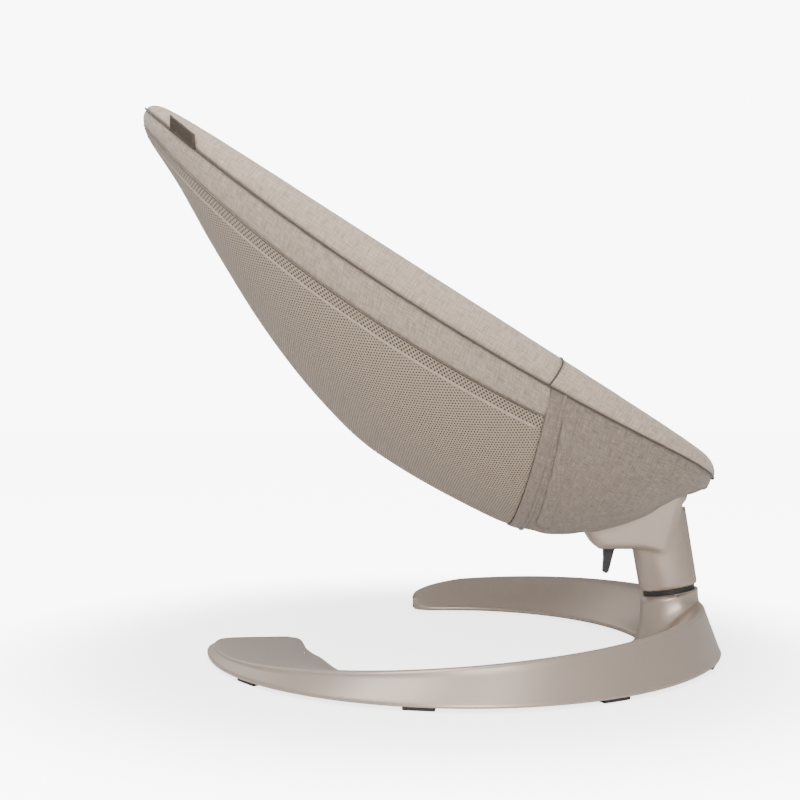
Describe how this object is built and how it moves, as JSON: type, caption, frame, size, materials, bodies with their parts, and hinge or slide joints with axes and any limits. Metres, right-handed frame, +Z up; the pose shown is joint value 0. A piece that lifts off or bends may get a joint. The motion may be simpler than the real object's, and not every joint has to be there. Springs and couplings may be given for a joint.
{
  "type": "bouncer seat",
  "caption": "Leaf-shaped reclining cloth baby seat on a column that swings over an open asymmetric ring base.",
  "frame": {"origin": "on the floor, below the middle of the overall box", "axes": "+Z up, +X towards the foot end, +Y towards the open side of the ring"},
  "size_m": [0.6596, 0.5738, 0.628],
  "materials": {
    "champagne": "satin champagne paint",
    "rubber_foot": "matt",
    "black_plastic": "matt",
    "frame_aluminium": "satin",
    "woven_cloth": "heathered woven cloth",
    "mesh_cloth": "open knitted mesh",
    "tag": "matt, blank",
    "webbing": "flat webbing",
    "nylon": "natural",
    "steel": "zinc plated"
  },
  "bodies": {
    "base": {"axle_nut": "steel", "axle_washer": "steel", "base_core_bar": "steel", "base_ring_cover": "champagne", "base_screw_1": "steel", "base_screw_2": "steel", "base_screw_3": "steel", "base_screw_4": "steel", "base_under_plate": "black_plastic", "foot_pad_1": "rubber_foot", "foot_pad_2": "rubber_foot", "foot_pad_3": "rubber_foot", "foot_pad_4": "rubber_foot", "foot_pad_5": "rubber_foot", "foot_pad_6": "rubber_foot", "foot_pad_7": "rubber_foot", "gap_ring": "black_plastic", "swing_axle": "steel"},
    "column": {"bearing_sleeve": "steel", "column_shell_far": "champagne", "column_shell_near": "champagne", "lever_pin": "steel", "lever_spring": "steel", "lower_bearing": "steel", "recline_pin": "steel", "upper_bearing": "steel"},
    "recline_lever_body": {"recline_lever": "black_plastic", "latch_pawl": "steel"},
    "seat": {"bracket_bolt_far": "steel", "bracket_bolt_near": "steel", "buckle_body": "black_plastic", "buckle_tongue_far": "black_plastic", "buckle_tongue_near": "black_plastic", "crotch_pad": "woven_cloth", "foot_cover": "woven_cloth", "frame_foot_block": "frame_aluminium", "frame_head_ferrule": "frame_aluminium", "frame_tube_far": "frame_aluminium", "frame_tube_near": "frame_aluminium", "mesh_panel": "mesh_cloth", "ratchet_sector": "steel", "recline_bush_far": "nylon", "recline_bush_near": "nylon", "rim_tag": "tag", "seat_bracket": "steel", "seat_liner": "woven_cloth", "sector_rivet_1": "steel", "sector_rivet_2": "steel", "side_band": "woven_cloth", "waist_strap_far": "webbing", "waist_strap_near": "webbing", "zip_band": "woven_cloth"},
    "button": {"buckle_button": "black_plastic"}
  },
  "joints": [
    {"name": "swing", "type": "hinge", "parent": "base", "child": "column", "pos_m": [0.27724, 0, 0.0685], "axis": [-0.165, 0, 0.9863], "range_deg": [-20, 20]},
    {"name": "recline", "type": "hinge", "parent": "column", "child": "seat", "pos_m": [0.2831, 0, 0.18], "axis": [0, -1, 0], "range_deg": [0, 11]},
    {"name": "lever_pull", "type": "hinge", "parent": "column", "child": "recline_lever_body", "pos_m": [0.21608, 0, 0.12707], "axis": [0, -1, 0], "range_deg": [0, 12], "stiffness_Nm_per_rad": 0.4, "springref_deg": -11.46},
    {"name": "button_press", "type": "slide", "parent": "seat", "child": "button", "axis": [-0.5332, 0, -0.846], "range_m": [0, 0.0025], "stiffness_N_per_m": 800, "springref_m": -0.002}
  ]
}
